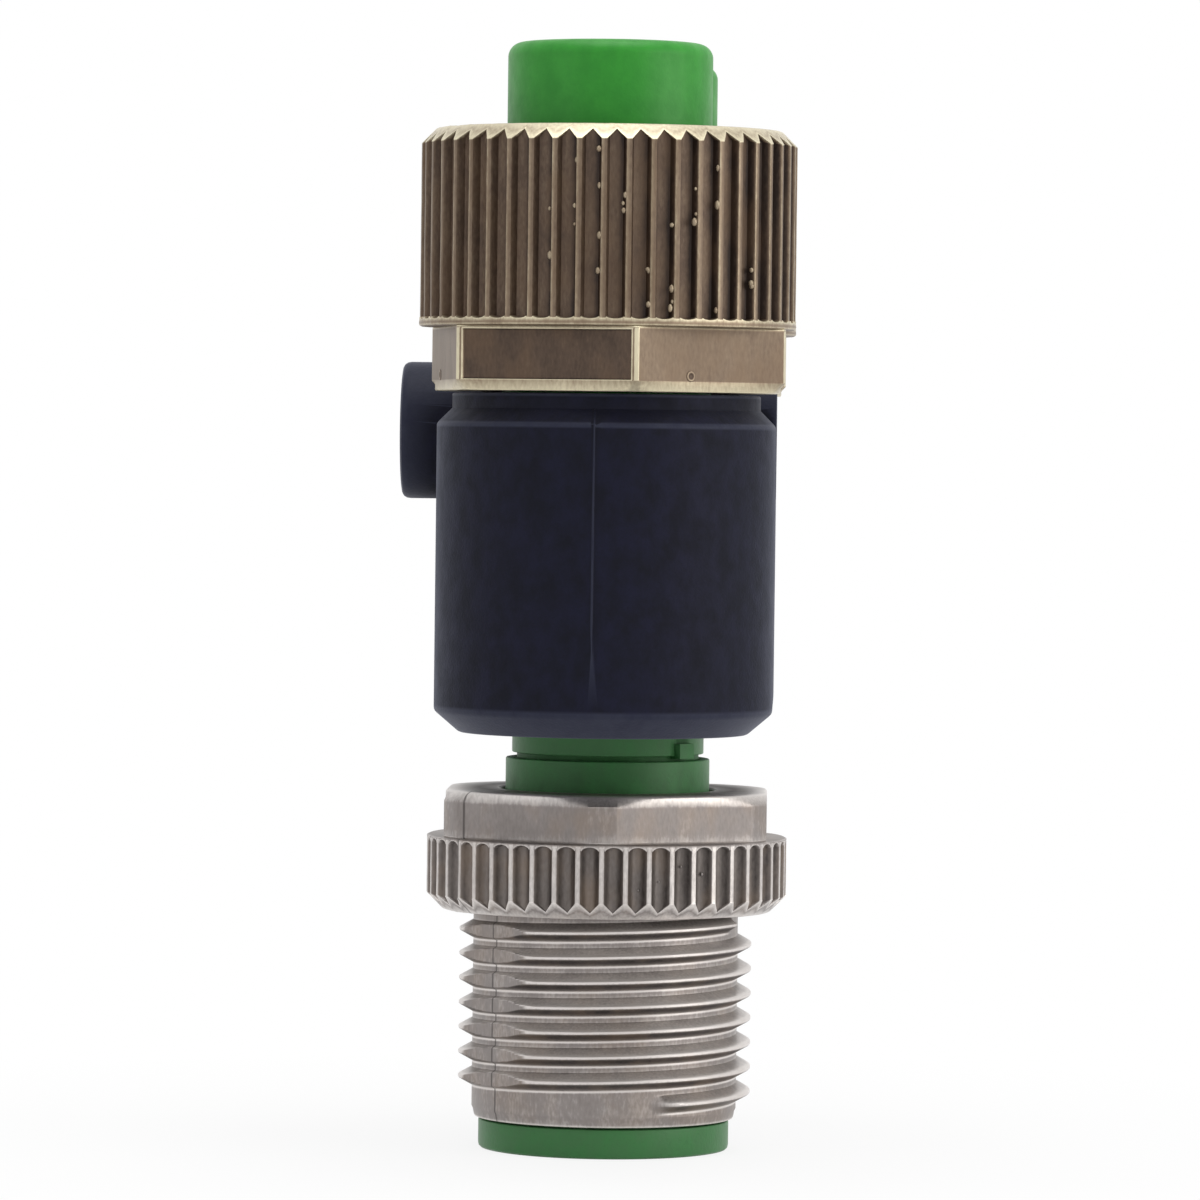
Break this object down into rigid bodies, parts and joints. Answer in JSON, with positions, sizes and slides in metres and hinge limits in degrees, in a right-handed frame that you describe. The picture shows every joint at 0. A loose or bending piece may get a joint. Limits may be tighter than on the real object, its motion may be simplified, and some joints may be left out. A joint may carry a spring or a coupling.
{
  "type": "m12 y coupler",
  "caption": "Overmoulded M12 coupler that joins one male plug with a coupling screw to paired socket inserts with knurled coupling nuts.",
  "frame": {"origin": "centre of the plug's end face, on the plug's axis", "axes": "+Z along the plug's axis towards the sockets, +Y from the front socket to the rear one, +X to the right when the front socket faces the viewer"},
  "size_m": [0.016, 0.0314, 0.0445],
  "materials": {
    "body_black": "fine matte moulded",
    "carrier_green": "moulded, slightly dulled",
    "insert_green": "moulded, satin",
    "screw_nickel": "nickel plated, worn and greyed",
    "nut_bronzed": "plated, aged brown with worn bright edges",
    "contact_gold": "gold plated",
    "conductor_copper": "tinned copper strip",
    "seal_rubber": "smooth rubber",
    "spring_steel": "plain spring steel"
  },
  "bodies": {
    "coupler": {"housing": "body_black", "male_carrier": "carrier_green", "front_socket_carrier": "insert_green", "rear_socket_carrier": "insert_green", "front_seal": "seal_rubber", "rear_seal": "seal_rubber", "male_pin_1": "contact_gold", "male_pin_2": "contact_gold", "male_pin_3": "contact_gold", "male_pin_4": "contact_gold", "front_socket_1": "contact_gold", "front_socket_2": "contact_gold", "front_socket_3": "contact_gold", "front_socket_4": "contact_gold", "rear_socket_1": "contact_gold", "rear_socket_2": "contact_gold", "rear_socket_3": "contact_gold", "rear_socket_4": "contact_gold", "conductor_1": "conductor_copper", "conductor_2": "conductor_copper", "conductor_3": "conductor_copper", "conductor_4": "conductor_copper"},
    "screw_ring": {"screw_snap_ring": "spring_steel"},
    "screw": {"coupling_screw": "screw_nickel"},
    "front_ring": {"front_snap_ring": "spring_steel"},
    "front_coupling_nut": {"front_nut": "nut_bronzed"},
    "rear_ring": {"rear_snap_ring": "spring_steel"},
    "rear_coupling_nut": {"rear_nut": "nut_bronzed"}
  },
  "joints": [
    {"name": "screw_slide", "type": "slide", "parent": "coupler", "child": "screw_ring", "axis": [0, 0, 1], "range_m": [0, 0.0024]},
    {"name": "screw_turn", "type": "hinge", "parent": "screw_ring", "child": "screw", "pos_m": [0, 0, 0.0138], "axis": [0, 0, 1], "continuous": true},
    {"name": "front_nut_slide", "type": "slide", "parent": "coupler", "child": "front_ring", "axis": [0, 0, 1], "range_m": [0, 0.001]},
    {"name": "front_nut_turn", "type": "hinge", "parent": "front_ring", "child": "front_coupling_nut", "pos_m": [0, -0.0082, 0.0318], "axis": [0, 0, 1], "continuous": true},
    {"name": "rear_nut_slide", "type": "slide", "parent": "coupler", "child": "rear_ring", "axis": [0, 0, 1], "range_m": [0, 0.001]},
    {"name": "rear_nut_turn", "type": "hinge", "parent": "rear_ring", "child": "rear_coupling_nut", "pos_m": [0, 0.0082, 0.0318], "axis": [0, 0, 1], "continuous": true}
  ]
}
